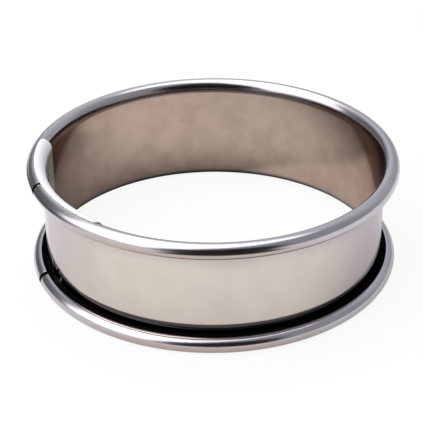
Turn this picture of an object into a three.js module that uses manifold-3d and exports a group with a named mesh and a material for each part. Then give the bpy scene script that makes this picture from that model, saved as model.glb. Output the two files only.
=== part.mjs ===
// A cake ring of rolled stainless sheet, in millimetres, with +Z up.
//
// One strip is bent into a hoop, and its ends butt at a seam on the -X side. Both edges of the strip are
// rolled outwards into hollow beads. Inside, a curved strap bridges the seam and hooks over the upper bead,
// and spot welds hold it to the strip. The origin is the middle of the circle that the ring stands on.

import * as THREE from 'three';
import { mergeVertices } from 'three/addons/utils/BufferGeometryUtils.js';
import Module from 'manifold-3d';

const wasm = await Module();
wasm.setup();

// The hoop: a strip with a rolled bead along each edge
const OUTER_DIAMETER = 80; // over the beads
const BAND_HEIGHT = 25; // from the flat under the lower bead to the top of the upper bead
const BAND_SHEET = 0.5;
const BEAD_DIAMETER = 3.6;
const BEAD_FLAT = 0.8; // width of the level flat under the lower bead, which the ring stands on
const CURL_TURN = THREE.MathUtils.degToRad(266); // how far each edge is rolled, open towards the wall
const SEAM_GAP = 0.4; // between the two ends of the strip

// The strap that bridges the seam
const STRAP_LENGTH = 40; // along the wall
const STRAP_SHEET = 0.4;
const STRAP_CLEARANCE = 0.1; // from the strap to the strip behind it
const UPPER_LIP_WRAP = THREE.MathUtils.degToRad(92); // how far it hooks over the upper bead
const LOWER_LIP_WRAP = THREE.MathUtils.degToRad(35); // short, so that the ring stands on its bead
const STRAP_CORNER = 1.6; // radius of the corners of the blank

// The spot welds
const WELD_DIAMETER = 3;
const WELD_CLEARANCE = 0.1; // around a weld in its hole
const WELD_DISH = 0.12; // depth of the electrode's mark
const WELD_FROM_SEAM = 4.8; // from the seam's edge to the nearer column
const WELD_FROM_END = 5; // from the strap's end to the farther column
const WELD_FROM_BEAD = 5; // from the start of a bead's curve to the nearer row

// Fineness of the facets
const HOOP_STEPS = 64; // a multiple of four, so that corners lie on both axes
const STRAP_STEPS = 16;
const CORNER_STEPS = 4;
const ARC_STEP = THREE.MathUtils.degToRad(23); // widest facet of a bead's arc
const WELD_SIDES = 16;

const STEEL = { color: 0xcfc6c0, roughness: 0.2, metalness: 1 };
const BRUSHED_STEEL = { color: 0xe6e3e4, roughness: 0.4, metalness: 1 };
const WELDED_STEEL = { color: 0xb3a79f, roughness: 0.5, metalness: 1 };

const beadRadius = BEAD_DIAMETER / 2;
const beadCircle = OUTER_DIAMETER / 2 - beadRadius; // radius at the middle of each bead
const wallInside = beadCircle - beadRadius;
const flatAngle = Math.asin(BEAD_FLAT / BEAD_DIAMETER); // half of the flat, seen from the bead's middle
const lowerBead = beadRadius * Math.cos(flatAngle); // height of the lower bead's middle
const upperBead = BAND_HEIGHT - beadRadius;

const INWARDS = Math.PI; // directions across a bead's section, anticlockwise from straight outwards
const UPWARDS = Math.PI / 2;
const SEAM = Math.PI; // where the seam lies on the hoop

// Angles from one to the other, both included, in equal steps no wider than a facet may be.
function anglesBetween(from, to) {
  const count = Math.ceil(Math.abs(to - from) / ARC_STEP);
  return Array.from({ length: count + 1 }, (_, i) => THREE.MathUtils.lerp(from, to, i / Math.max(count, 1)));
}

// A station across a bent sheet: the two points, radius and height, that lie face to face there.
function stationOnBead(height, angle, faceRadius, backRadius) {
  const onArc = (radius) =>
    new THREE.Vector2(beadCircle + radius * Math.cos(angle), height + radius * Math.sin(angle));
  return { face: onArc(faceRadius), back: onArc(backRadius) };
}

// A closed solid from stations across a sheet, each swept round the hoop by its own half angle.
function bentSheet(stations, halfAngles, middle, steps) {
  const positions = [];
  for (const side of ['face', 'back']) {
    stations.forEach((station, i) => {
      for (let j = 0; j <= steps; j++) {
        const angle = middle + THREE.MathUtils.lerp(-halfAngles[i], halfAngles[i], j / steps);
        const { x: radius, y: height } = station[side];
        positions.push(radius * Math.cos(angle), radius * Math.sin(angle), height);
      }
    });
  }
  const row = steps + 1;
  const face = (i, j) => i * row + j;
  const back = (i, j) => (stations.length + i) * row + j;
  const triangles = [];
  const quad = (a, b, c, d) => triangles.push(a, b, c, a, c, d);
  const last = stations.length - 1;
  for (let i = 0; i < last; i++) {
    for (let j = 0; j < steps; j++) {
      quad(face(i, j), face(i + 1, j), face(i + 1, j + 1), face(i, j + 1));
      quad(back(i, j), back(i, j + 1), back(i + 1, j + 1), back(i + 1, j));
    }
    quad(face(i, 0), back(i, 0), back(i + 1, 0), face(i + 1, 0));
    quad(face(i, steps), face(i + 1, steps), back(i + 1, steps), back(i, steps));
  }
  for (let j = 0; j < steps; j++) {
    quad(face(0, j), face(0, j + 1), back(0, j + 1), back(0, j));
    quad(face(last, j), back(last, j), back(last, j + 1), face(last, j + 1));
  }
  const geometry = new THREE.BufferGeometry();
  geometry.setAttribute('position', new THREE.Float32BufferAttribute(positions, 3));
  geometry.setIndex(triangles);
  return geometry;
}

function toSolid(geometry) {
  const bare = geometry.clone();
  bare.deleteAttribute('normal');
  bare.deleteAttribute('uv');
  const merged = mergeVertices(bare);
  return new wasm.Manifold(
    new wasm.Mesh({
      numProp: 3,
      vertProperties: new Float32Array(merged.attributes.position.array),
      triVerts: new Uint32Array(merged.index.array),
    }),
  );
}

function toGeometry(solid) {
  const { vertProperties, triVerts } = solid.getMesh();
  const geometry = new THREE.BufferGeometry();
  geometry.setAttribute('position', new THREE.Float32BufferAttribute(vertProperties, 3));
  geometry.setIndex(Array.from(triVerts));
  return geometry;
}

function namedMesh(name, geometry, finish) {
  geometry.computeVertexNormals();
  const mesh = new THREE.Mesh(geometry, new THREE.MeshStandardMaterial(finish));
  mesh.name = name;
  return mesh;
}

// The strip, from the free edge of its lower bead, up the wall and round to the free edge of the upper one.
function rolledBand() {
  const curlEnd = CURL_TURN - INWARDS;
  const upperCurl = anglesBetween(INWARDS, -curlEnd);
  const lowerCurl = [
    ...anglesBetween(curlEnd, flatAngle - UPWARDS),
    ...anglesBetween(-flatAngle - UPWARDS, -INWARDS),
  ];
  const hollow = beadRadius - BAND_SHEET;
  const stations = [
    ...lowerCurl.map((angle) => stationOnBead(lowerBead, angle, beadRadius, hollow)),
    ...upperCurl.map((angle) => stationOnBead(upperBead, angle, beadRadius, hollow)),
  ];
  const halfAngle = Math.PI - SEAM_GAP / 2 / beadCircle;
  const halfAngles = stations.map(() => halfAngle);
  return bentSheet(stations, halfAngles, SEAM + Math.PI, HOOP_STEPS);
}

// The strap's sheet lies off the strip by its clearance, on the wall and round both beads.
const strapBack = wallInside - STRAP_CLEARANCE;
const strapFace = strapBack - STRAP_SHEET;

// Places of the welds: an angle from the seam and a height.
function weldPlaces() {
  const nearColumn = (SEAM_GAP / 2 + WELD_FROM_SEAM) / wallInside;
  const farColumn = (STRAP_LENGTH / 2 - WELD_FROM_END) / wallInside;
  const rows = [lowerBead + WELD_FROM_BEAD, upperBead - WELD_FROM_BEAD];
  return [-farColumn, -nearColumn, nearColumn, farColumn].flatMap((angle) =>
    rows.map((height) => ({ angle: SEAM + angle, height })),
  );
}

// A round plug on the X axis that reaches out from one radius to another, dished at its inner end.
function radialPlug(diameter, innerRadius, outerRadius, dish) {
  const profile = [
    new THREE.Vector2(0, -outerRadius),
    new THREE.Vector2(diameter / 2, -outerRadius),
    new THREE.Vector2(diameter / 2, -innerRadius),
    new THREE.Vector2(0, -innerRadius - dish),
  ];
  return new THREE.LatheGeometry(profile, WELD_SIDES).rotateZ(Math.PI / 2);
}

// How far the strap's blank is cut back at its ends, at a distance from its upper or lower edge.
function cornerInset(fromEdge) {
  const intoCorner = Math.max(0, STRAP_CORNER - fromEdge);
  return STRAP_CORNER - Math.sqrt(STRAP_CORNER ** 2 - intoCorner ** 2);
}

// One lip of the strap, from the wall to its edge: stations round the bead, with their half lengths.
function strapLip(height, turn, wrap) {
  const backRadius = beadRadius + STRAP_CLEARANCE;
  const faceRadius = backRadius + STRAP_SHEET;
  const cornerAngle = Math.min(wrap, STRAP_CORNER / faceRadius);
  const plain = anglesBetween(0, wrap - cornerAngle);
  const rounded = Array.from(
    { length: CORNER_STEPS },
    (_, i) => wrap - cornerAngle * (1 - Math.sin(((i + 1) / CORNER_STEPS) * (Math.PI / 2))),
  );
  return [...plain, ...rounded].map((angle) => ({
    ...stationOnBead(height, INWARDS + turn * angle, faceRadius, backRadius),
    halfLength: STRAP_LENGTH / 2 - cornerInset((wrap - angle) * faceRadius),
  }));
}

function spliceStrap() {
  const stations = [
    ...strapLip(lowerBead, 1, LOWER_LIP_WRAP).reverse(),
    ...strapLip(upperBead, -1, UPPER_LIP_WRAP),
  ];
  const halfAngles = stations.map(({ halfLength }) => halfLength / wallInside);
  const blank = toSolid(bentSheet(stations, halfAngles, SEAM, STRAP_STEPS));
  const holeDiameter = WELD_DIAMETER + 2 * WELD_CLEARANCE;
  const holes = weldPlaces().map(({ angle, height }) => {
    const plug = radialPlug(holeDiameter, strapFace - STRAP_SHEET, strapBack + STRAP_SHEET, 0);
    return toSolid(plug.rotateZ(angle).translate(0, 0, height));
  });
  return toGeometry(holes.reduce((strap, hole) => strap.subtract(hole), blank));
}

const cakeRing = new THREE.Group();
cakeRing.add(namedMesh('rolled_band', rolledBand(), STEEL));
cakeRing.add(namedMesh('splice_strap', spliceStrap(), BRUSHED_STEEL));
weldPlaces().forEach(({ angle, height }, i) => {
  const plug = radialPlug(WELD_DIAMETER, strapFace, strapBack, WELD_DISH);
  const weld = namedMesh(`spot_weld_${i + 1}`, plug, WELDED_STEEL);
  weld.rotation.z = angle;
  weld.position.z = height;
  cakeRing.add(weld);
});

export default cakeRing;
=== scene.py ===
"""Models a rolled steel cake ring: its band, splice strap and spot welds, and a plain studio round it."""
import math
from collections import namedtuple

import bmesh
import bpy
from bpy.props import FloatProperty, FloatVectorProperty, IntProperty, PointerProperty
from mathutils import Matrix, Quaternion, Vector


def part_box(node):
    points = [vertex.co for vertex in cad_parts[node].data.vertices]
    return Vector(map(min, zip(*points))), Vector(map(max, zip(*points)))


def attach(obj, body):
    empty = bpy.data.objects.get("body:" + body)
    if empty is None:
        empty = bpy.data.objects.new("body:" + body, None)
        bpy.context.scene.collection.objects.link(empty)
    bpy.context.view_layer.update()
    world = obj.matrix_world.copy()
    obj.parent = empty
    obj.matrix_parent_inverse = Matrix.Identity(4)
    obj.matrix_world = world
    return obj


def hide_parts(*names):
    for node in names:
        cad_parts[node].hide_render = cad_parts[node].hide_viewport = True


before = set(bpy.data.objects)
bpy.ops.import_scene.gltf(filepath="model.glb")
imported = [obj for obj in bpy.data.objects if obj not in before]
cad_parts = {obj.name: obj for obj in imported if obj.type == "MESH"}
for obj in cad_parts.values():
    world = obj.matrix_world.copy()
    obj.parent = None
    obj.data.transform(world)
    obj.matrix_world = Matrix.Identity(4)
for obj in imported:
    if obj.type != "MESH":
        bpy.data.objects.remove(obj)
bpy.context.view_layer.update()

bl_info = {
    "name": "Cake Ring",
    "version": (1, 0, 0),
    "blender": (4, 5, 0),
    "location": "View3D > Sidebar > Cake Ring",
    "description": "Models a cake ring of rolled steel with a strapped seam, and a studio to show it in",
    "category": "Add Mesh",
}

BAND_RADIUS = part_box("rolled_band")[1].x
BAND_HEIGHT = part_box("rolled_band")[1].z
WELD_NODES = sorted(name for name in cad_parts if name.startswith("spot_weld_"))
BODY = "root"
MM = 0.001
SEAM = math.pi  # where the seam lies on the hoop
FULL_TURN = 2 * math.pi
ACROSS = Vector((0, 1, 0))  # axis of a bead's section in the XZ plane
UP = Vector((0, 0, 1))
WHITE = (1, 1, 1, 1)
BLACK = (0, 0, 0, 1)

# Shaping of the meshes
CUT_ANGLE = math.radians(60)  # faces that meet more sharply than this meet at a cut edge
EDGE_SEGMENTS = 2  # across a rounded cut edge
SAME_PLACE = 1e-7  # vertices closer than this become one
DISH_CURVE = ((0.0, 1.0), (0.35, 0.94), (0.65, 0.6))  # shares of a weld's radius and of its dish's depth
DISH_AT_RIM = 0.12  # share of the dish's depth where the rim begins

# How deep a finish on the strip reaches into the sheet, how softly it ends, and the same for the painted
# shade in the hollows, groove and seam
SKIN = 0.1 * MM
SOFT = 0.3 * MM
PAINTED_SHADE_REACH = 0.12 * MM
PAINTED_SHADE_SOFT = 0.2 * MM

# Shares of a weld's radius between which the heat tint fades
TINT_FADE = (0.9, 1.6)

# How squarely the strip faces its pale side, where painted reflection makes it cream and warm, from no effect
# on its colour to the full effect
CREAM_FACING = (0.3, 1.0)
WARM_REFLECTION_FACING = (0.7, 0.95)

# Values of the noise between which a mark grows from none to full
CLOUDS = (0.3, 0.7)
STAINS = (0.38, 0.66)
HAZE = (0.35, 0.75)
BRUSHED_TONE = (0.3, 0.7)
BRUSHED_ROUGHNESS = (0.25, 0.75)
SPECKLE_TONE = (0.35, 0.65)
SPECKLE_ROUGHNESS = (0.3, 0.7)

# How often marks repeat in the three directions of their coordinates
ROLLING_STREAKS = (60.0, 9000.0, 9000.0)
BRUSH_STREAKS = (6.0, 300.0, 1.0)
WELD_SPECKS = (3000.0, 3000.0, 3000.0)

Relief = namedtuple("Relief", "strength depth")
ROLLING_LINES = Relief(strength=0.05, depth=0.01 * MM)
SLOW_WAVES = Relief(strength=0.3, depth=0.2 * MM)
BRUSH_MARKS = Relief(strength=0.08, depth=0.02 * MM)
WELD_PITS = Relief(strength=0.2, depth=0.02 * MM)

Zone = namedtuple("Zone", "middle half edge depth")
Patch = namedtuple("Patch", "turn rise reach core level")


def length(label, description, default):
    """A property for a length in metres."""
    return FloatProperty(name=label, description=description, default=default, unit="LENGTH", precision=5)


def angle(label, description, degrees):
    """A property for an angle, given in degrees and kept in radians."""
    return FloatProperty(name=label, description=description, default=math.radians(degrees), subtype="ANGLE")


def share(label, description, default):
    """A property for a share between 0 and 1."""
    return FloatProperty(name=label, description=description, default=default, min=0, max=1)


def level(label, description, default):
    """A property for a brightness, where a white card in even light is 1."""
    return FloatProperty(name=label, description=description, default=default, min=0)


def colour(label, description, default):
    """A property for a linear colour."""
    return FloatVectorProperty(
        name=label, description=description, default=default, subtype="COLOR", min=0, max=1
    )


def steps(label, description, default):
    """A property for a number of steps."""
    return IntProperty(name=label, description=description, default=default, min=1)


class BandSizes(bpy.types.PropertyGroup):
    """Sizes of the strip that is bent into the hoop"""

    outer_radius: length("Outer radius", "Radius of the hoop over its beads", BAND_RADIUS)
    height: length("Height", "Height over both beads", BAND_HEIGHT)
    sheet: length("Sheet", "Thickness of the strip", 0.5 * MM)
    bead_radius: length("Bead radius", "Outer radius of each rolled edge", 1.7 * MM)
    flare: length("Flare", "How far the wall bends out before each rolled edge", 0.2 * MM)
    flare_radius: length("Flare radius", "Radius of that gentler bend", 5.4 * MM)
    bead_flat: length("Bead flat", "Width of the level flat that the ring stands on", 0.8 * MM)
    curl_turn: angle("Curl", "How far each edge is rolled round", 276)
    seam_gap: length("Seam gap", "Gap between the two ends of the strip at the beads", 0.9 * MM)
    wall_gap: length("Wall gap", "Gap between the two ends of the strip on the wall", 0.14 * MM)
    seam_taper: length("Seam taper", "How far from a bead the seam narrows to the wall's gap", 3.4 * MM)
    edge_round: length("Edge round", "Rounding of the cut edges", 0.06 * MM)

    def bead_circle(self):
        """Radius of the hoop at the middle of its beads."""
        return self.outer_radius - self.bead_radius

    def wall_inside(self):
        """Radius of the hoop at the inner face of its wall."""
        return self.bead_circle() - self.bead_radius - self.flare

    def lower_bead(self):
        """Height at the middle of the lower bead."""
        return math.sqrt(self.bead_radius**2 - (self.bead_flat / 2) ** 2)

    def upper_bead(self):
        """Height at the middle of the upper bead."""
        return self.height - self.bead_radius

    def flare_centre(self):
        """How far the middle of a flare lies from the middle of its bead, outwards and along the wall."""
        reach = self.flare_radius - self.bead_radius
        outwards = reach - self.flare
        return outwards, math.sqrt(reach**2 - outwards**2)

    def flare_turn(self):
        """How far the strip turns in each flare."""
        outwards, along = self.flare_centre()
        return math.atan2(along, outwards)

    def gap_at(self, height):
        """Width of the seam, which opens towards both beads."""
        from_bead = min(height - self.lower_bead(), self.upper_bead() - height) - self.bead_radius
        closing = min(max(from_bead / self.seam_taper, 0.0), 1.0)
        return self.seam_gap + (self.wall_gap - self.seam_gap) * closing


class StrapSizes(bpy.types.PropertyGroup):
    """Sizes of the strap that bridges the seam"""

    length: length("Length", "Length of the strap along the wall", 40.0 * MM)
    sheet: length("Sheet", "Thickness of the strap", 0.4 * MM)
    clearance: length("Clearance", "Gap between the strap and the strip", 0.03 * MM)
    bend: length("Bend", "Radius inside the bends of the strap", 1.83 * MM)
    upper_wrap: angle("Upper lip", "How far the strap hooks over the upper bead", 92)
    lower_wrap: angle("Lower lip", "How far the strap follows the lower bead", 35)
    corner: length("Corner", "Radius of the corners of the blank", 0.9 * MM)
    edge_round: length("Edge round", "Rounding of the cut edges", 0.06 * MM)
    feather: length("Feather", "How far the ends of the upper lip are ground thin", 2.5 * MM)
    feather_sheet: length("Feather sheet", "Thickness that is left at those ends", 0.16 * MM)

    def bend_circle(self, band):
        """Radius of the hoop at the middle of the strap's bends."""
        return band.wall_inside() - self.clearance + self.bend

    def bend_heights(self, band):
        """Heights at the middle of the strap's lower and upper bends."""
        snug = self.bend - self.clearance
        return math.sqrt(snug**2 - (band.bead_flat / 2) ** 2), band.height - snug


class WeldSizes(bpy.types.PropertyGroup):
    """Sizes of the spot welds"""

    radius: length("Radius", "Radius of each weld", 1.5 * MM)
    clearance: length("Clearance", "Gap around a weld in its hole", 0.1 * MM)
    dish: length("Dish", "Depth of the electrode's mark", 0.12 * MM)
    rim: length("Rim", "Width of the rounded rim", 0.2 * MM)


class Fineness(bpy.types.PropertyGroup):
    """How finely the pieces are divided"""

    hoop_steps: steps("Hoop", "Steps round the hoop", 256)
    curl_steps: steps("Curl", "Steps round each bead", 40)
    flare_steps: steps("Flare", "Steps round each gentler bend", 8)
    wall_steps: steps("Wall", "Steps up the wall", 12)
    strap_cells: steps("Strap", "Cells along the strap", 80)
    weld_steps: steps("Weld", "Steps round a weld and its hole", 32)


class BandLooks(bpy.types.PropertyGroup):
    """Finish of the strip"""

    polished: colour("Polished", "Colour of the polished outside", (0.437, 0.374, 0.411))
    # Painted reflection: the outside turns cream on its palest side, the one towards the camera, where it
    # mirrors the bright floor in front.
    cream: colour("Cream", "Colour of the outside on its palest sides", (0.645, 0.577, 0.508))
    pale_side: angle("Pale side", "Where the outside is palest, round the hoop", -117)
    cloud_share: share("Clouds", "How far slow clouds change the colour of the outside", 0.12)
    # Painted shade: the cream fades under the upper bead, where the bead shades the wall.
    under_bead_shade_reach: length("Fade reach", "How far below the upper edge the cream begins to fade", 6.0 * MM)
    under_bead_shade_share: share("Fade", "How far the cream fades under the upper edge", 0.6)
    rolled: colour("Rolled", "Colour of the rolled edges", (0.55, 0.515, 0.54))
    # Painted reflection: the beads' undersides turn warm on the pale side, standing in for a warm floor
    # mirrored there.
    rolled_low: colour("Underside", "Colour of the rolled edges below, on pale sides", (0.51, 0.42, 0.39))
    # Painted reflection: a dark band along the foot of the outer wall stands in for the dark groove that the
    # mirror-like wall reflects there.
    dark_reflection: colour("Residue", "Colour of the residue along the foot of the wall", (0.07, 0.062, 0.062))
    dark_reflection_rise: length("Residue rise", "How far the residue reaches above the lower edge", 2.2 * MM)
    # Partly painted shade: the inside's darker, browner colour is partly its duller finish and partly stands
    # in for the shade inside the ring.
    inside: colour("Inside", "Colour of the duller inside", (0.475, 0.358, 0.295))
    stain: colour("Stain", "Colour of the stains on the duller inside", (0.33, 0.24, 0.195))
    stain_share: share("Stains", "How strongly the stains show", 0.45)
    haze_share: share("Haze", "How far haze browns the steel", 0.15)
    inside_edge: colour("Inside edge", "Tint of the inside seen at a low angle", (0.54, 0.49, 0.5))
    # Painted shade: a dark line on the inside where it bends into the upper bead.
    rim: colour("Rim", "Colour of the inside where it bends into the upper edge", (0.3, 0.27, 0.28))
    rim_shade_from: length("Rim from", "How far below the upper edge's middle that begins", 1.4 * MM)
    rim_shade_full: length("Rim full", "How far below the upper edge's middle that is full", 0.8 * MM)
    # Painted shade: near-black inside the curls, in the groove behind the lower bead and in the seam's gap.
    scale: colour("Scale", "Colour of the dull scale inside the rolled edges", (0.035, 0.031, 0.03))
    polished_roughness: share("Polished roughness", "Roughness of the polished outside", 0.1)
    rolled_roughness: share("Rolled roughness", "Roughness of the rolled edges", 0.19)
    inside_roughness: share("Inside roughness", "Roughness of the duller inside", 0.14)
    # Roughness where that painted shade lies.
    painted_shade_roughness: share("Scale roughness", "Roughness of the dull scale", 0.6)
    worn_roughness: share("Wear", "How far streaks and haze change the roughness", 0.06)


class StrapLooks(bpy.types.PropertyGroup):
    """Finish of the strap and the welds"""

    # Painted highlight: the strap is made near-white and barely metallic on the lip, which faces the lamps,
    # and stays greyer steel below it.
    lip: colour("Lip", "Colour of the bright lip", (0.99, 0.985, 0.985))
    lip_metal: share("Lip sheen", "How metallic the bright lip looks", 0.06)
    lip_marks: share("Lip marks", "How light the brush marks on the lip are", 0.94)
    lip_smooth: share("Lip smooth", "Lowest roughness of the lip", 0.5)
    lip_rough: share("Lip rough", "Highest roughness of the lip", 0.66)
    lip_from: length("Lip from", "How far below the upper edge's middle the lip's finish begins", 1.2 * MM)
    lip_full: length("Lip full", "How far above the upper edge's middle the lip's finish is full", 0.6 * MM)
    wall: colour("Wall", "Colour of the strap below its lip", (0.6, 0.56, 0.53))
    wall_metal: share("Wall sheen", "How metallic the strap looks below its lip", 0.6)
    wall_marks: share("Wall marks", "How light the brush marks below the lip are", 0.85)
    wall_smooth: share("Wall smooth", "Lowest roughness of the strap below its lip", 0.22)
    wall_rough: share("Wall rough", "Highest roughness of the strap below its lip", 0.34)
    brush_slant: angle("Brush slant", "How far the brush marks lean", 52)
    # Painted shade: the foot of the strap's back, seen through the seam's gap, is darkened to near-black.
    back: colour("Back", "Colour of the dull scale on the back of the strap", (0.035, 0.031, 0.03))
    back_foot: length("Back foot", "Height up to which the back is dark with scale", 5.0 * MM)
    back_fade: length("Back fade", "Height over which that scale fades", 2.0 * MM)
    weld: colour("Weld", "Colour of the welds", (0.33, 0.29, 0.27))
    weld_pits: share("Weld pits", "How light the pits in the welds are", 0.75)
    weld_smooth: share("Weld smooth", "Lowest roughness of the welds", 0.3)
    weld_rough: share("Weld rough", "Highest roughness of the welds", 0.5)
    straw: colour("Heat tint", "Colour of the heat tint round the welds", (0.5, 0.36, 0.22))
    straw_share: share("Tint", "How strongly the heat tint shows", 0.7)


class StudioLooks(bpy.types.PropertyGroup):
    """The floor, the light and the camera"""

    floor: colour("Floor", "Colour of the floor", (0.93, 0.93, 0.93))
    floor_glow: share("Floor glow", "How far the floor is lit to white for the camera", 0.9)
    floor_mirrored: share("Mirrored glow", "How far the floor is lit to white where steel mirrors it", 0.3)
    floor_shade: share("Floor shade", "How light the mirrored floor is where the ring shades it", 0.52)
    shade_reach: length("Shade reach", "How far the ring shades the mirrored floor", 20.0 * MM)
    lit_from: share("Lit from", "Where the shade ends on the right, as a share of the ring's radius", 0.02)
    lit_full: share("Lit full", "Where it has ended, as a share of the ring's radius", 0.35)
    floor_size: length("Floor size", "Half the width of the floor", 6.0)
    floor_drop: length("Floor drop", "How far the floor lies below the ring", 0.02 * MM)
    zone_from: length("Zone from", "Where the mirrored floor begins to darken, from the middle", 69.0 * MM)
    zone_full: length("Zone full", "Where the dark zones are darkest, from the middle", 85.0 * MM)
    front_zone: angle("Front zone", "Middle of the dark zone in front, from the camera", 4)
    front_half: angle("Front half", "Half the width of the dark zone in front", 23)
    front_edge: angle("Front edge", "How softly the dark zone in front ends at its sides", 10)
    front_depth: share("Front depth", "How dark the zone in front is", 0.97)
    left_zone: angle("Left zone", "Middle of the dark zone on the left, from the camera", -108)
    left_half: angle("Left half", "Half the width of the dark zone on the left", 12)
    left_edge: angle("Left edge", "How softly the dark zone on the left ends at its sides", 28)
    left_depth: share("Left depth", "How dark the zone on the left is", 0.9)
    softbox_distance: length("Softbox distance", "From the ring to each softbox", 1.8)
    overhead_turn: angle("Overhead turn", "Where the overhead softbox hangs, from the camera", -135)
    overhead_rise: angle("Overhead rise", "How high the overhead softbox hangs", 78)
    overhead_size: length("Overhead size", "Width of the overhead softbox", 1.9)
    overhead_level: level("Overhead level", "Brightness of the overhead softbox", 1.7)
    side_turn: angle("Side turn", "Where the softbox on the left stands, from the camera", -66)
    side_rise: angle("Side rise", "How high the softbox on the left stands", 38)
    side_size: length("Side size", "Width of the softbox on the left", 2.2)
    side_level: level("Side level", "Brightness of the softbox on the left", 1.6)
    room: colour("Room", "Colour of the room's light", (0.87, 0.92, 1.0))
    room_level: level("Room level", "Brightness of the room", 0.45)
    back_level: level("Back level", "Brightness of the room behind the ring", 0.9)
    dark_level: level("Dark level", "Brightness of the room behind the camera", 0.02)
    shade_level: level("Shade level", "Brightness of the shaded corner behind on the left", 0.18)
    corner_level: level("Corner level", "Brightness of the corner behind on the right", 0.55)
    azimuth: angle("Azimuth", "Where the camera stands round the ring, from the front", -21.2)
    elevation: angle("Elevation", "How far the camera looks down", 29.32)
    distance: length("Distance", "From the camera to the middle of the ring", 297.2 * MM)
    roll: angle("Roll", "How far the camera leans", -0.46)
    aim_right: length("Aim right", "How far to the right of the ring's middle the camera aims", -0.45 * MM)
    aim_up: length("Aim up", "How far above the ring's middle the camera aims", -1.97 * MM)
    lens: FloatProperty(name="Lens", description="Focal length on a 36 mm sensor, in mm", default=115.25)
    near: length("Near", "Nearest distance that the camera sees", 10.0 * MM)


class CakeRing(bpy.types.PropertyGroup):
    """All that a user may change on the ring and its studio"""

    band: PointerProperty(type=BandSizes)
    strap: PointerProperty(type=StrapSizes)
    weld: PointerProperty(type=WeldSizes)
    fineness: PointerProperty(type=Fineness)
    band_looks: PointerProperty(type=BandLooks)
    strap_looks: PointerProperty(type=StrapLooks)
    studio: PointerProperty(type=StudioLooks)


def of_kind(kind, geometry):
    """The vertices, edges or faces among the geometry that an operator returns."""
    return [item for item in geometry if isinstance(item, kind)]


def round_cut_edges(bm, radius):
    """Rounds the edges where the sheet is cut square."""
    cut = [
        edge for edge in bm.edges
        if len(edge.link_faces) == 2 and edge.calc_face_angle() > CUT_ANGLE
    ]
    bmesh.ops.bevel(
        bm, geom=cut, offset=radius, segments=EDGE_SEGMENTS, profile=0.5, affect="EDGES", material=-1
    )


def middle_of(node):
    """The middle of a CAD node's box."""
    return sum(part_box(node), Vector()) / 2


def add_piece(name, bm, node, material):
    """Makes an object of a finished mesh, in the place of the CAD node that it stands for."""
    for face in bm.faces:
        face.smooth = True
    mesh = bpy.data.meshes.new(name)
    bm.to_mesh(mesh)
    bm.free()
    mesh.materials.append(material)
    piece = bpy.data.objects.new(name, mesh)
    bpy.context.scene.collection.objects.link(piece)
    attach(piece, BODY)
    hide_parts(node)
    return piece


def even_normals(piece):
    """Keeps the narrow rounded edges from bending the light on the broad faces beside them."""
    weighted = piece.modifiers.new("Even normals", "WEIGHTED_NORMAL")
    weighted.keep_sharp = True


def sweep(bm, edge, count, centre=(0, 0, 0), turn=0.0, slide=Vector((0, 0, 0))):
    """Carries an edge of the section round a bead or straight on, and returns the edge that it ends on."""
    swept = bmesh.ops.spin(
        bm, geom=[*edge.verts, edge], cent=centre, axis=ACROSS, angle=turn, dvec=slide / count, steps=count
    )
    return of_kind(bmesh.types.BMEdge, swept["geom_last"])[0]


def band_section(bm, band, fineness):
    """The strip's section in the XZ plane: up from the lower curl's free edge to the upper curl's."""
    lower = Vector((band.bead_circle(), 0, band.lower_bead()))
    upper = Vector((band.bead_circle(), 0, band.upper_bead()))
    curl_end = band.curl_turn - math.pi
    outwards = Vector((math.cos(curl_end), 0, math.sin(curl_end)))
    radii = (band.bead_radius, band.bead_radius - band.sheet)
    edge = bm.edges.new([bm.verts.new(lower + outwards * radius) for radius in radii])
    across, along = band.flare_centre()
    lower_flare = lower + Vector((across, 0, along))
    upper_flare = upper + Vector((across, 0, -along))
    bead_turn = band.curl_turn - band.flare_turn()
    edge = sweep(bm, edge, fineness.curl_steps, lower, bead_turn)
    edge = sweep(bm, edge, fineness.flare_steps, lower_flare, band.flare_turn())
    edge = sweep(bm, edge, fineness.wall_steps, slide=upper_flare - lower_flare)
    edge = sweep(bm, edge, fineness.flare_steps, upper_flare, band.flare_turn())
    sweep(bm, edge, fineness.curl_steps, upper, bead_turn)


def band_mesh(band, fineness):
    """The strip: its section is spun round the hoop, and its seam is closed on the wall."""
    bm = bmesh.new()
    band_section(bm, band, fineness)
    half_gap = band.seam_gap / 2 / band.bead_circle()
    bmesh.ops.rotate(bm, verts=bm.verts[:], matrix=Matrix.Rotation(SEAM + half_gap, 3, UP))
    section = [*bm.verts, *bm.edges, *bm.faces]
    bmesh.ops.spin(
        bm, geom=section, axis=UP, cent=(0, 0, 0), angle=FULL_TURN - 2 * half_gap, steps=fineness.hoop_steps
    )
    for vert in bm.verts:
        closing = 1 - band.gap_at(vert.co.z) / band.seam_gap
        stretch = closing * half_gap * math.atan2(vert.co.y, vert.co.x) / (math.pi - half_gap)
        vert.co.rotate(Quaternion(UP, stretch))
        vert.co.z = max(vert.co.z, 0.0)
    bmesh.ops.recalc_face_normals(bm, faces=bm.faces[:])
    round_cut_edges(bm, band.edge_round)
    return bm


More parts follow.
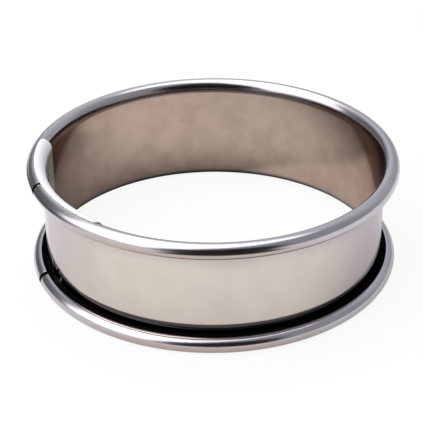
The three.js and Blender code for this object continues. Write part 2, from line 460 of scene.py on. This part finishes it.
class StrapBlank:
    """Carries the strap's flat blank onto the ring. A place on it is a run along it and a rise across it."""

    def __init__(self, band, strap):
        self.band, self.strap = band, strap
        middle = strap.bend + strap.sheet / 2
        self.lower, self.upper = strap.bend_heights(band)
        self.lower_lip = strap.lower_wrap * middle
        self.wall = self.upper - self.lower
        self.upper_lip = strap.upper_wrap * middle
        self.width = self.lower_lip + self.wall + self.upper_lip

    def run_of(self, point):
        """How far along the wall a point on the ring lies from the seam."""
        return (math.atan2(point.y, point.x) % FULL_TURN - SEAM) * self.band.wall_inside()

    def place_of(self, point):
        """The place on the blank of a point on the wall."""
        return Vector((self.run_of(point), self.lower_lip + point.z - self.lower, 0))

    def cut_back(self, place):
        """The place's run, drawn in where the corners of the blank are round."""
        radius, half = self.strap.corner, self.strap.length / 2
        into_corner = max(0.0, radius - min(place.y, self.width - place.y))
        inset = radius - math.sqrt(max(radius**2 - into_corner**2, 0.0))
        return place.x * (half - inset) / half

    def bent(self, place):
        """Where a place on the blank lies on the back of the finished strap."""
        strap, rise = self.strap, place.y - self.lower_lip
        bow = 0.0
        height = self.lower + rise
        if rise < 0:
            bow = -rise / self.lower_lip * strap.lower_wrap
            height = self.lower - strap.bend * math.sin(bow)
        elif rise > self.wall:
            bow = (rise - self.wall) / self.upper_lip * strap.upper_wrap
            height = self.upper + strap.bend * math.sin(bow)
        radius = strap.bend_circle(self.band) - strap.bend * math.cos(bow)
        round_hoop = SEAM + self.cut_back(place) / self.band.wall_inside()
        return Vector((radius * math.cos(round_hoop), radius * math.sin(round_hoop), height))

    def feathered(self, point):
        """The point, drawn towards the bead where the ends of the upper lip are ground thin."""
        strap, centre = self.strap, self.strap.bend_circle(self.band)
        rise, across = point.z - self.upper, centre - point.xy.length
        if rise <= 0:
            return point
        from_end = strap.length / 2 - abs(self.run_of(point))
        near_end = 1 - min(max(from_end / strap.feather, 0.0), 1.0)
        bow = math.atan2(rise, across)
        half_wrap = strap.upper_wrap / 2
        near_edge = min(bow / half_wrap, 1.0)
        left = 1 - near_end * near_edge * (1 - strap.feather_sheet / strap.sheet)
        reach = strap.bend + (math.hypot(rise, across) - strap.bend) * left
        flat = point.xy.normalized() * (centre - reach * math.cos(bow))
        return Vector((*flat, self.upper + reach * math.sin(bow)))


def cut_hole(bm, centre, radius, cell, count):
    """Cuts a round hole in a flat grid: a square patch goes, and its edge is drawn in onto a circle."""
    middle = min(bm.verts, key=lambda vert: (vert.co - centre).length).co.copy()
    reach = cell * (count // 8)  # a square with 2n cells to a side has 8n edges round it
    patch = [
        face for face in bm.faces
        if all(abs(face.calc_center_median()[i] - middle[i]) < reach[i] for i in range(2))
    ]
    inside = set(patch)
    rim = [edge for face in patch for edge in face.edges if not all(f in inside for f in edge.link_faces)]
    bmesh.ops.delete(bm, geom=patch, context="FACES")
    drawn_in = bmesh.ops.extrude_edge_only(bm, edges=rim)
    for vert in of_kind(bmesh.types.BMVert, drawn_in["geom"]):
        vert.co = centre + (vert.co - centre).normalized() * radius


def mark_blank(bm, strap, centres):
    """Keeps the flat places for the brush marks, and the distances from the welds for the heat tint."""
    distance = bm.verts.layers.float.new("weld_distance")
    flat = bm.loops.layers.uv.new("blank")
    for face in bm.faces:
        for loop in face.loops:
            loop[flat].uv = loop.vert.co.xy / strap.length
    for vert in bm.verts:
        vert[distance] = min((vert.co - centre).length for centre in centres)


def turn_outwards(bm):
    """Turns the faces of an open sheet away from the ring's axis."""
    bmesh.ops.recalc_face_normals(bm, faces=bm.faces[:])
    face = bm.faces[:][0]
    from_axis = face.calc_center_median() * Vector((1, 1, 0))
    if face.normal.dot(from_axis) < 0:
        bmesh.ops.reverse_faces(bm, faces=bm.faces[:])


def strap_mesh(band, strap, weld, fineness):
    """The strap: a flat blank with a hole for each weld, bent onto the ring and given its thickness."""
    bm = bmesh.new()
    blank = StrapBlank(band, strap)
    columns = fineness.strap_cells
    rows = round(columns * blank.width / strap.length)
    size = Vector((strap.length, blank.width, 1))
    place = Matrix.Translation((0, blank.width / 2, 0)) @ Matrix.Diagonal((*size, 1))
    bmesh.ops.create_grid(bm, x_segments=columns, y_segments=rows, size=0.5, matrix=place)
    cell = Vector((strap.length / columns, blank.width / rows))
    centres = [blank.place_of(middle_of(node)) for node in WELD_NODES]
    for centre in centres:
        cut_hole(bm, centre, weld.radius + weld.clearance, cell, fineness.weld_steps)
    mark_blank(bm, strap, centres)
    for vert in bm.verts:
        vert.co = blank.bent(vert.co)
    turn_outwards(bm)
    bmesh.ops.solidify(bm, geom=bm.faces[:], thickness=strap.sheet)
    for vert in bm.verts:
        vert.co = blank.feathered(vert.co)
    bmesh.ops.recalc_face_normals(bm, faces=bm.faces[:])
    round_cut_edges(bm, strap.edge_round)
    return bm


def weld_mesh(band, strap, weld, fineness, node):
    """One weld: a round plug, dished where the electrode pressed on it, spun about its own axis."""
    bm = bmesh.new()
    back = band.wall_inside() - strap.clearance
    face = back - strap.sheet
    outline = [
        *((weld.radius * out, face + weld.dish * depth) for out, depth in DISH_CURVE),
        (weld.radius - weld.rim, face + weld.dish * DISH_AT_RIM),
        (weld.radius - weld.rim / 2, face),
        (weld.radius, face + weld.rim / 2),
        (weld.radius, back),
        (0.0, back),
    ]
    verts = [bm.verts.new((along, out, 0)) for out, along in outline]
    for first, second in zip(verts, verts[1:]):
        bm.edges.new((first, second))
    bmesh.ops.spin(
        bm, geom=[*bm.verts, *bm.edges], axis=(1, 0, 0), cent=(0, 0, 0), angle=FULL_TURN,
        steps=fineness.weld_steps, use_merge=True,
    )
    bmesh.ops.remove_doubles(bm, verts=bm.verts[:], dist=SAME_PLACE)
    bmesh.ops.recalc_face_normals(bm, faces=bm.faces[:])
    distance = bm.verts.layers.float.new("weld_distance")
    for vert in bm.verts:
        vert[distance] = vert.co.yz.length
    middle = middle_of(node)
    place = Matrix.Translation((0, 0, middle.z)) @ Matrix.Rotation(math.atan2(middle.y, middle.x), 4, UP)
    bmesh.ops.transform(bm, verts=bm.verts[:], matrix=place)
    return bm


class Shading:
    """A node tree that is filled by short calls."""

    def __init__(self, tree):
        self.tree = tree
        tree.nodes.clear()

    def feed(self, node, inputs):
        """Links or sets a node's inputs, by name or number."""
        for key, value in inputs.items():
            if isinstance(value, bpy.types.NodeSocket):
                self.tree.links.new(value, node.inputs[key])
            else:
                node.inputs[key].default_value = value

    def node(self, kind, inputs=None, **settings):
        """Adds a node with its settings and its inputs."""
        node = self.tree.nodes.new(kind)
        for name, value in settings.items():
            setattr(node, name, value)
        self.feed(node, inputs or {})
        return node

    def group(self, tree, inputs=None):
        """Adds a node group and returns its outputs."""
        return self.node("ShaderNodeGroup", inputs, node_tree=tree).outputs

    def math(self, operation, *values, clamp=False):
        """Works out a value."""
        node = self.node("ShaderNodeMath", dict(enumerate(values)), operation=operation, use_clamp=clamp)
        return node.outputs[0]

    def vector(self, **parts):
        """Makes a vector of its X, Y and Z."""
        return self.node("ShaderNodeCombineXYZ", parts).outputs[0]

    def dot(self, first, second):
        """How far one vector reaches along another."""
        node = self.node("ShaderNodeVectorMath", {0: first, 1: second}, operation="DOT_PRODUCT")
        return node.outputs["Value"]

    def size(self, vector):
        """How long a vector is."""
        return self.node("ShaderNodeVectorMath", {0: vector}, operation="LENGTH").outputs["Value"]

    def mix(self, factor, first, second):
        """Mixes two colours, whose sockets go by number because sockets for values share their names."""
        return self.node("ShaderNodeMix", {0: factor, 6: first, 7: second}, data_type="RGBA").outputs[2]

    def blend(self, factor, first, second):
        """Mixes two values."""
        change = self.math("SUBTRACT", second, first)
        return self.math("MULTIPLY_ADD", factor, change, first)

    def ramp(self, value, low, high, to_low=0.0, to_high=1.0):
        """Maps a value from one range smoothly onto another."""
        node = self.node(
            "ShaderNodeMapRange",
            {"Value": value, "From Min": low, "From Max": high, "To Min": to_low, "To Max": to_high},
            interpolation_type="SMOOTHSTEP",
        )
        return node.outputs["Result"]

    def bump(self, height, relief, **normal):
        """Bends the normal by a height, on top of another bent normal where one is given."""
        inputs = {"Height": height, "Strength": relief.strength, "Distance": relief.depth, **normal}
        return self.node("ShaderNodeBump", inputs).outputs[0]


def opaque(rgb):
    """A colour with full alpha."""
    return (*rgb, 1.0)


def new_group(name, inputs, outputs):
    """A shader node group with named sockets, its shading, and its input and output nodes."""
    tree = bpy.data.node_groups.new(name, "ShaderNodeTree")
    for label, kind in inputs.items():
        tree.interface.new_socket(label, in_out="INPUT", socket_type=kind)
    for label, kind in outputs.items():
        tree.interface.new_socket(label, in_out="OUTPUT", socket_type=kind)
    shading = Shading(tree)
    return tree, shading, shading.node("NodeGroupInput"), shading.node("NodeGroupOutput")


def hoop_coordinates():
    """A group that gives the place, the same unrolled, the way round the hoop, the radius and the height."""
    name = "Hoop coordinates"
    if name in bpy.data.node_groups:
        return bpy.data.node_groups[name]
    vectors = dict.fromkeys(("Place", "Unrolled"), "NodeSocketVector")
    values = dict.fromkeys(("Along", "Radius", "Height"), "NodeSocketFloat")
    tree, shading, _, out = new_group(name, {}, vectors | values)
    place = shading.node("ShaderNodeTexCoord").outputs["Object"]
    parts = shading.node("ShaderNodeSeparateXYZ", {0: place}).outputs
    height = parts["Z"]
    radius = shading.size(shading.vector(X=parts["X"], Y=parts["Y"]))
    turn = shading.math("ARCTAN2", parts["Y"], parts["X"])
    along = shading.math("MULTIPLY", turn, BAND_RADIUS)
    unrolled = shading.vector(X=along, Y=radius, Z=height)
    shading.feed(
        out, {"Place": place, "Unrolled": unrolled, "Along": along, "Radius": radius, "Height": height}
    )
    return tree


def steel_grain():
    """A group that gives fine streaks along a direction, soft haze and slow waves."""
    name = "Steel grain"
    if name in bpy.data.node_groups:
        return bpy.data.node_groups[name]
    inputs = dict.fromkeys(("Streak Vector", "Streak Scale", "Cloud Vector"), "NodeSocketVector")
    outputs = dict.fromkeys(("Streaks", "Haze", "Waves"), "NodeSocketFloat")
    tree, shading, given, out = new_group(name, inputs, outputs)
    streak_vector, streak_scale, clouds = (given.outputs[label] for label in inputs)
    stretched = shading.node(
        "ShaderNodeVectorMath", {0: streak_vector, 1: streak_scale}, operation="MULTIPLY"
    ).outputs["Vector"]
    textures = {
        "Streaks": {"Vector": stretched, "Scale": 1.0, "Detail": 3.0},
        "Haze": {"Vector": clouds, "Scale": 190.0, "Detail": 4.0},
        "Waves": {"Vector": clouds, "Scale": 55.0, "Detail": 1.0},
    }
    for label, texture in textures.items():
        noise = shading.node("ShaderNodeTexNoise", texture)
        shading.feed(out, {label: noise.outputs[0]})
    return tree


def new_material(name):
    """An empty material, its shading and its metal shader."""
    material = bpy.data.materials.new(name)
    material.use_nodes = True
    shading = Shading(material.node_tree)
    metal = shading.node("ShaderNodeBsdfPrincipled", {"Metallic": 1.0})
    shading.node("ShaderNodeOutputMaterial", {"Surface": metal.outputs[0]})
    return material, shading, metal


class BandPlaces:
    """Where a point lies on the strip, and masks for the strip's faces, rolled edges and hollows."""

    def __init__(self, shading, band, looks):
        place = shading.group(hoop_coordinates())
        self.spot, self.unrolled = place["Place"], place["Unrolled"]
        self.radius, self.height = place["Radius"], place["Height"]
        from_far_side = shading.math("ABSOLUTE", place["Along"])
        self.from_seam = shading.math("SUBTRACT", SEAM * BAND_RADIUS, from_far_side)
        turn = shading.math("DIVIDE", place["Along"], BAND_RADIUS)
        # How squarely a point faces the side that gets the painted pale reflection.
        from_pale_side = shading.math("SUBTRACT", turn, looks.pale_side)
        self.facing = shading.math("ABSOLUTE", shading.math("COSINE", from_pale_side))
        self.mark_wall(shading, band)
        self.mark_beads(shading, band)

    def mark_wall(self, shading, band):
        """Masks for the inner face, for all but the inner face, and for the outer face of the wall."""
        inner = band.wall_inside()
        outer = inner + band.sheet
        self.inside = shading.ramp(self.radius, inner + SKIN, inner + SKIN + SOFT, 1.0, 0.0)
        self.off_inside = shading.ramp(self.radius, inner + SKIN / 2, outer)
        at_wall = shading.ramp(self.radius, outer + SKIN, outer + SKIN + SOFT, 1.0, 0.0)
        self.outer_face = shading.math("MULTIPLY", at_wall, self.off_inside)

    def mark_beads(self, shading, band):
        """The height above the nearer bead's middle, and masks for the beads and the hollows inside them."""
        lower, upper = band.lower_bead(), band.upper_bead()
        in_upper_half = shading.math("GREATER_THAN", self.height, (lower + upper) / 2)
        nearer = shading.math("MULTIPLY_ADD", in_upper_half, upper - lower, lower)
        self.above = shading.math("SUBTRACT", self.height, nearer)
        across = shading.math("SUBTRACT", self.radius, band.bead_circle())
        depth = shading.size(shading.vector(X=across, Y=self.above))
        skin = band.bead_radius + SKIN
        self.near_bead = shading.ramp(depth, skin, skin + SOFT, 1.0, 0.0)
        self.rolled = shading.math("MULTIPLY", self.near_bead, self.off_inside)
        # The hollow inside each curl gets painted shade.
        lining = band.bead_radius - band.sheet + PAINTED_SHADE_REACH
        self.hollow = shading.ramp(depth, lining, lining + PAINTED_SHADE_SOFT, 1.0, 0.0)


def outside_colour(shading, band, looks, places, waves):
    """Lilac steel with slow clouds, a painted pale reflection that turns it cream on its palest side, the one
    towards the camera, and painted shade that fades the cream under the upper bead.
    """
    clouds = shading.ramp(waves, *CLOUDS, -looks.cloud_share, looks.cloud_share)
    fade_from = band.upper_bead() - looks.under_bead_shade_reach
    fade_to = band.upper_bead() - band.bead_radius
    # Painted shade under the upper bead.
    fade = shading.ramp(places.height, fade_from, fade_to, 0.0, looks.under_bead_shade_share)
    change = shading.math("SUBTRACT", clouds, fade)
    cream = shading.math("ADD", shading.ramp(places.facing, *CREAM_FACING), change, clamp=True)
    return shading.mix(cream, opaque(looks.polished), opaque(looks.cream))


def inside_colour(shading, band, looks, places, haze):
    """Browner steel with stains, partly painted shade, and darker with painted shade where it bends into the
    upper bead.
    """
    stains = shading.ramp(haze, *STAINS, 0.0, looks.stain_share)
    stained = shading.mix(stains, opaque(looks.inside), opaque(looks.stain))
    upper = band.upper_bead()
    # Painted shade under the upper bead.
    bend = shading.ramp(places.height, upper - looks.rim_shade_from, upper - looks.rim_shade_full)
    return shading.mix(bend, stained, opaque(looks.rim))


def rolled_colour(shading, looks, places):
    """Bright steel, with a warm painted reflection on the underside of the beads where they face the pale
    side.
    """
    below = shading.ramp(places.above, -SOFT, 3 * SOFT, 1.0, 0.0)
    warm_reflection = shading.math("MULTIPLY", below, shading.ramp(places.facing, *WARM_REFLECTION_FACING))
    return shading.mix(warm_reflection, opaque(looks.rolled), opaque(looks.rolled_low))


def painted_dark_masks(shading, band, looks, places):
    """Where a painted dark reflection lies along the foot of the wall, and where painted shade lies in rolls,
    groove and seam.
    """
    crown = band.lower_bead() + band.bead_radius
    # Painted reflection: the foot of the outer wall is darkened up to this height.
    dark_reflection_top = crown + looks.dark_reflection_rise
    foot = shading.ramp(places.height, dark_reflection_top - SOFT, dark_reflection_top, 1.0, 0.0)
    dark_reflection = shading.math("MULTIPLY", foot, places.outer_face)
    # Painted shade in the groove behind the lower bead and along the seam's gap.
    behind_bead = shading.ramp(places.height, crown - SKIN - SOFT, crown, 1.0, 0.0)
    groove = shading.math("MULTIPLY", behind_bead, places.outer_face)
    cut_edge = band.seam_gap / 2 + PAINTED_SHADE_REACH
    cut = shading.ramp(places.from_seam, cut_edge, cut_edge + PAINTED_SHADE_REACH, 1.0, 0.0)
    seam = shading.math("MULTIPLY", cut, shading.math("MAXIMUM", places.near_bead, foot))
    scale = shading.math("MAXIMUM", places.hollow, shading.math("MAXIMUM", groove, seam))
    return dark_reflection, scale


def band_roughness(shading, looks, places, streaks, haze, scale):
    """Smoothest outside, a little rougher inside and on the beads, and dull where the painted shade lies."""
    wall = shading.ramp(places.inside, 0.0, 1.0, looks.polished_roughness, looks.inside_roughness)
    clean = shading.blend(places.rolled, wall, looks.rolled_roughness)
    wear = shading.math("SUBTRACT", shading.math("ADD", streaks, haze), 1.0)
    worn = shading.math("MULTIPLY_ADD", wear, looks.worn_roughness, clean)
    return shading.math("MAXIMUM", worn, shading.math("MULTIPLY", scale, looks.painted_shade_roughness))


def polished_steel(band, looks):
    """Polished outside, duller and browner inside, with fine rolling lines, haze and slow waves."""
    material, shading, metal = new_material("Polished steel")
    places = BandPlaces(shading, band, looks)
    vectors = {
        "Streak Vector": places.unrolled,
        "Streak Scale": ROLLING_STREAKS,
        "Cloud Vector": places.spot,
    }
    grain = shading.group(steel_grain(), vectors)
    streaks, haze, waves = grain["Streaks"], grain["Haze"], grain["Waves"]
    outside = outside_colour(shading, band, looks, places, waves)
    inside = inside_colour(shading, band, looks, places, haze)
    wall = shading.mix(places.inside, outside, inside)
    bare = shading.mix(places.rolled, wall, rolled_colour(shading, looks, places))
    browned = shading.ramp(haze, *HAZE, 0.0, looks.haze_share)
    hazed = shading.mix(browned, bare, opaque(looks.inside))
    dark_reflection, scale = painted_dark_masks(shading, band, looks, places)
    # Paints that dark reflection onto the foot of the wall.
    with_dark_reflection = shading.mix(dark_reflection, hazed, opaque(looks.dark_reflection))
    finish = {
        # Painted shade in the curls' hollows, the groove and the seam.
        "Base Color": shading.mix(scale, with_dark_reflection, opaque(looks.scale)),
        "Specular Tint": shading.mix(places.inside, WHITE, opaque(looks.inside_edge)),
        "Roughness": band_roughness(shading, looks, places, streaks, haze, scale),
        "Normal": shading.bump(waves, SLOW_WAVES, Normal=shading.bump(streaks, ROLLING_LINES)),
    }
    shading.feed(metal, finish)
    return material


def heat_tint(shading, looks, base, radius):
    """Tints a colour towards straw in a ring round each weld."""
    distance = shading.node("ShaderNodeAttribute", attribute_name="weld_distance").outputs["Fac"]
    fade_from, fade_to = (radius * reach for reach in TINT_FADE)
    near = shading.ramp(distance, fade_from, fade_to, 1.0, 0.0)
    off_middle = shading.ramp(distance, radius / 2, radius)
    ring = shading.math("MULTIPLY", near, off_middle)
    return shading.mix(shading.math("MULTIPLY", ring, looks.straw_share), base, opaque(looks.straw))


def marked(shading, marks, span, rgb, lightness):
    """A colour that is darker where the marks are low."""
    darker = tuple(lightness * channel for channel in rgb)
    return shading.mix(shading.ramp(marks, *span), opaque(darker), opaque(rgb))


def strap_colour(shading, band, looks, marks, place, lip):
    """Painted highlight on the lip, greyer steel below it, and painted shade at the foot of the back, which
    the seam lets through.
    """
    # Painted highlight on the lip, greyer steel below it.
    bright = marked(shading, marks, BRUSHED_TONE, looks.lip, looks.lip_marks)
    dull = marked(shading, marks, BRUSHED_TONE, looks.wall, looks.wall_marks)
    brushed = shading.mix(lip, dull, bright)
    # Painted shade at the foot of the strap's back.
    foot = shading.ramp(place["Height"], looks.back_foot, looks.back_foot + looks.back_fade, 1.0, 0.0)
    inner = band.wall_inside()
    behind = shading.ramp(place["Radius"], inner - SKIN / 2 - SOFT, inner - PAINTED_SHADE_SOFT)
    return shading.mix(shading.math("MULTIPLY", foot, behind), brushed, opaque(looks.back))


def brushed_steel(band, looks, weld):
    """Steel with slanting brush marks, with a painted highlight on the upper lip, and tinted by heat round
    the welds.
    """
    material, shading, metal = new_material("Brushed steel")
    blank = shading.node("ShaderNodeUVMap", uv_map="blank").outputs[0]
    slant = shading.node("ShaderNodeMapping", {"Vector": blank, "Rotation": (0, 0, looks.brush_slant)})
    vectors = {"Streak Vector": slant.outputs[0], "Streak Scale": BRUSH_STREAKS}
    marks = shading.group(steel_grain(), vectors)["Streaks"]
    place = shading.group(hoop_coordinates())
    upper = band.upper_bead()
    # Where the lip's painted highlight lies.
    lip = shading.ramp(place["Height"], upper - looks.lip_from, upper + looks.lip_full)
    brushed = strap_colour(shading, band, looks, marks, place, lip)
    wall_roughness = shading.ramp(marks, *BRUSHED_ROUGHNESS, looks.wall_smooth, looks.wall_rough)
    lip_roughness = shading.ramp(marks, *BRUSHED_ROUGHNESS, looks.lip_smooth, looks.lip_rough)
    finish = {
        "Base Color": heat_tint(shading, looks, brushed, weld.radius),
        "Metallic": shading.ramp(lip, 0.0, 1.0, looks.wall_metal, looks.lip_metal),
        "Roughness": shading.blend(lip, wall_roughness, lip_roughness),
        "Specular IOR Level": 1.0,
        "Normal": shading.bump(marks, BRUSH_MARKS),
    }
    shading.feed(metal, finish)
    return material


def welded_steel(looks, weld):
    """Dull steel that the heat has tinted towards its rim."""
    material, shading, metal = new_material("Welded steel")
    place = shading.node("ShaderNodeTexCoord").outputs["Object"]
    vectors = {"Streak Vector": place, "Streak Scale": WELD_SPECKS}
    specks = shading.group(steel_grain(), vectors)["Streaks"]
    pitted = marked(shading, specks, SPECKLE_TONE, looks.weld, looks.weld_pits)
    finish = {
        "Base Color": heat_tint(shading, looks, pitted, weld.radius),
        "Roughness": shading.ramp(specks, *SPECKLE_ROUGHNESS, looks.weld_smooth, looks.weld_rough),
        "Normal": shading.bump(specks, WELD_PITS),
    }
    shading.feed(metal, finish)
    return material


class CAKERING_OT_rolled_band(bpy.types.Operator):
    """Models the strip that is bent into a hoop and rolled along both edges"""

    bl_idname = "cakering.rolled_band"
    bl_label = "Rolled Band"

    def execute(self, context):
        ring = context.scene.cake_ring
        material = polished_steel(ring.band, ring.band_looks)
        bm = band_mesh(ring.band, ring.fineness)
        even_normals(add_piece("rolled_steel_band", bm, "rolled_band", material))
        return {"FINISHED"}


class CAKERING_OT_splice_strap(bpy.types.Operator):
    """Models the strap that bridges the seam from inside"""

    bl_idname = "cakering.splice_strap"
    bl_label = "Splice Strap"

    def execute(self, context):
        ring = context.scene.cake_ring
        material = brushed_steel(ring.band, ring.strap_looks, ring.weld)
        bm = strap_mesh(ring.band, ring.strap, ring.weld, ring.fineness)
        even_normals(add_piece("brushed_splice_strap", bm, "splice_strap", material))
        return {"FINISHED"}


class CAKERING_OT_spot_welds(bpy.types.Operator):
    """Models the spot welds that hold the strap to the strip"""

    bl_idname = "cakering.spot_welds"
    bl_label = "Spot Welds"

    def execute(self, context):
        ring = context.scene.cake_ring
        material = welded_steel(ring.strap_looks, ring.weld)
        for node in WELD_NODES:
            bm = weld_mesh(ring.band, ring.strap, ring.weld, ring.fineness, node)
            add_piece(f"{node}_nugget", bm, node, material)
        return {"FINISHED"}


def direction(studio, turn, rise):
    """A direction from the ring, by its turn to the right from the camera's side and its rise."""
    azimuth = studio.azimuth + turn
    level_part = Vector((math.sin(azimuth), -math.cos(azimuth), 0)) * math.cos(rise)
    return level_part + UP * math.sin(rise)


def dark_zone(shading, studio, place, radius, zone):
    """How far the mirrored floor lies in a dark zone, beyond the paper on one side of the ring."""
    along = shading.dot(place, direction(studio, zone.middle, 0))
    facing = shading.math("DIVIDE", along, radius)
    sector = shading.ramp(facing, math.cos(zone.half + zone.edge), math.cos(zone.half))
    beyond = shading.ramp(radius, studio.zone_from, studio.zone_full)
    return shading.math("MULTIPLY", sector, beyond)


def floor_in_steel(shading, studio, band):
    """How light the floor is where steel mirrors it: shaded inside the ring and dark beyond the paper."""
    place = shading.node("ShaderNodeTexCoord").outputs["Object"]
    radius = shading.size(place)
    wall = band.wall_inside()
    shade = shading.ramp(radius, wall - studio.shade_reach, wall, 1.0, studio.floor_shade)
    to_right = shading.dot(place, direction(studio, math.pi / 2, 0) / wall)
    lit_side = shading.ramp(to_right, studio.lit_from, studio.lit_full)
    unshaded = shading.math("MAXIMUM", shading.ramp(radius, wall, band.outer_radius), lit_side)
    lightness = shading.math("MAXIMUM", shade, unshaded)
    zones = (
        Zone(studio.front_zone, studio.front_half, studio.front_edge, studio.front_depth),
        Zone(studio.left_zone, studio.left_half, studio.left_edge, studio.left_depth),
    )
    for zone in zones:
        dark = dark_zone(shading, studio, place, radius, zone)
        left = shading.math("MULTIPLY_ADD", dark, -zone.depth, 1.0)
        lightness = shading.math("MULTIPLY", lightness, left)
    return lightness


def pale_paper(studio, band):
    """Paper that is lit to white for the camera and partly for steel, which also mirrors its darker parts."""
    material = bpy.data.materials.new("Pale floor")
    material.use_nodes = True
    shading = Shading(material.node_tree)
    path = shading.node("ShaderNodeLightPath").outputs
    lightness = shading.blend(path["Is Glossy Ray"], 1.0, floor_in_steel(shading, studio, band))
    tone = shading.mix(lightness, BLACK, opaque(studio.floor))
    paper = shading.node("ShaderNodeBsdfDiffuse", {"Color": tone})
    white = shading.node("ShaderNodeEmission", {"Color": WHITE, "Strength": lightness})
    seen = shading.math("MULTIPLY", path["Is Camera Ray"], studio.floor_glow)
    lit = shading.math("MULTIPLY_ADD", path["Is Glossy Ray"], studio.floor_mirrored, seen)
    surface = shading.node("ShaderNodeMixShader", {0: lit, 1: paper.outputs[0], 2: white.outputs[0]})
    shading.node("ShaderNodeOutputMaterial", {"Surface": surface.outputs[0]})
    return material


def add_floor(studio, band):
    """A plain pale floor just under the ring."""
    bm = bmesh.new()
    bmesh.ops.create_grid(bm, x_segments=1, y_segments=1, size=studio.floor_size)
    bmesh.ops.translate(bm, verts=bm.verts[:], vec=UP * -studio.floor_drop)
    mesh = bpy.data.meshes.new("floor")
    bm.to_mesh(mesh)
    bm.free()
    mesh.materials.append(pale_paper(studio, band))
    floor = bpy.data.objects.new("floor", mesh)
    bpy.context.scene.collection.objects.link(floor)


def add_softbox(name, studio, towards, size, brightness):
    """A square soft light that faces the ring, with the power that its brightness takes."""
    light = bpy.data.lights.new(name, "AREA")
    light.shape = "SQUARE"
    light.size = size
    light.energy = brightness * math.pi * size**2
    softbox = bpy.data.objects.new(name, light)
    softbox.location = towards * studio.softbox_distance
    softbox.rotation_mode = "QUATERNION"
    softbox.rotation_quaternion = (-towards).to_track_quat("-Z", "Y")
    bpy.context.scene.collection.objects.link(softbox)


def add_lamps(studio):
    """One softbox overhead, a little behind and to the left, and one on the left."""
    overhead = direction(studio, studio.overhead_turn, studio.overhead_rise)
    side = direction(studio, studio.side_turn, studio.side_rise)
    add_softbox("overhead_softbox", studio, overhead, studio.overhead_size, studio.overhead_level)
    add_softbox("left_softbox", studio, side, studio.side_size, studio.side_level)


def add_room(studio):
    """A grey room, lighter behind the ring and darker behind the camera and in one corner."""
    world = bpy.data.worlds.new("Studio room")
    bpy.context.scene.world = world
    world.use_nodes = True
    shading = Shading(world.node_tree)
    ray = shading.node("ShaderNodeTexCoord").outputs["Generated"]
    # Angles in degrees: turn and rise from the camera's side, reach of the patch and of its even core
    patches = (
        Patch(turn=175, rise=10, reach=75, core=10, level=studio.back_level),
        Patch(turn=150, rise=8, reach=40, core=10, level=studio.corner_level),
        Patch(turn=-130, rise=8, reach=45, core=15, level=studio.shade_level),
        Patch(turn=5, rise=22, reach=40, core=26, level=studio.dark_level),
    )
    brightness = studio.room_level
    for patch in patches:
        towards = direction(studio, math.radians(patch.turn), math.radians(patch.rise))
        nearness = shading.dot(ray, towards)
        edge, core = (math.cos(math.radians(degrees)) for degrees in (patch.reach, patch.core))
        brightness = shading.blend(shading.ramp(nearness, edge, core), brightness, patch.level)
    background = shading.node("ShaderNodeBackground", {"Color": opaque(studio.room), "Strength": brightness})
    shading.node("ShaderNodeOutputWorld", {"Surface": background.outputs[0]})


def add_camera(studio, band):
    """The camera, aimed close to the middle of the ring."""
    middle = UP * (band.height / 2)
    back = direction(studio, 0, studio.elevation)
    right = UP.cross(back).normalized()
    up = back.cross(right)
    data = bpy.data.cameras.new("camera")
    data.lens = studio.lens
    data.clip_start = studio.near
    camera = bpy.data.objects.new("camera", data)
    camera.location = middle + back * studio.distance
    aim = middle + right * studio.aim_right + up * studio.aim_up
    look = (camera.location - aim).normalized()
    camera.rotation_mode = "QUATERNION"
    camera.rotation_quaternion = Quaternion(look, studio.roll) @ (-look).to_track_quat("-Z", "Y")
    bpy.context.scene.collection.objects.link(camera)
    bpy.context.scene.camera = camera


class CAKERING_OT_studio(bpy.types.Operator):
    """Sets up the floor, the light and the camera"""

    bl_idname = "cakering.studio"
    bl_label = "Studio"

    def execute(self, context):
        ring = context.scene.cake_ring
        context.scene.view_settings.view_transform = "Standard"
        add_floor(ring.studio, ring.band)
        add_lamps(ring.studio)
        add_room(ring.studio)
        add_camera(ring.studio, ring.band)
        return {"FINISHED"}


class CAKERING_PT_sidebar(bpy.types.Panel):
    """Lists the pieces of the ring and what a user may change"""

    bl_idname = "CAKERING_PT_sidebar"
    bl_label = "Cake Ring"
    bl_space_type = "VIEW_3D"
    bl_region_type = "UI"
    bl_category = "Cake Ring"

    def draw(self, context):
        ring = context.scene.cake_ring
        for operator in PIECES:
            self.layout.operator(operator.bl_idname)
        for name in CakeRing.__annotations__:
            group = getattr(ring, name)
            box = self.layout.box()
            box.label(text=type(group).__doc__)
            for setting in type(group).__annotations__:
                box.prop(group, setting)


PIECES = (CAKERING_OT_studio, CAKERING_OT_rolled_band, CAKERING_OT_splice_strap, CAKERING_OT_spot_welds)
SETTINGS = (BandSizes, StrapSizes, WeldSizes, Fineness, BandLooks, StrapLooks, StudioLooks, CakeRing)
CLASSES = (*SETTINGS, *PIECES, CAKERING_PT_sidebar)


def register():
    """Adds the classes and the ring's settings to Blender."""
    for cls in CLASSES:
        bpy.utils.register_class(cls)
    bpy.types.Scene.cake_ring = PointerProperty(type=CakeRing)


def unregister():
    """Takes the settings and the classes away again."""
    del bpy.types.Scene.cake_ring
    for cls in reversed(CLASSES):
        bpy.utils.unregister_class(cls)


def main():
    """Registers the add-on, and makes the studio and the pieces."""
    register()
    bpy.ops.cakering.studio()
    bpy.ops.cakering.rolled_band()
    bpy.ops.cakering.splice_strap()
    bpy.ops.cakering.spot_welds()


if __name__ == "__main__":
    main()
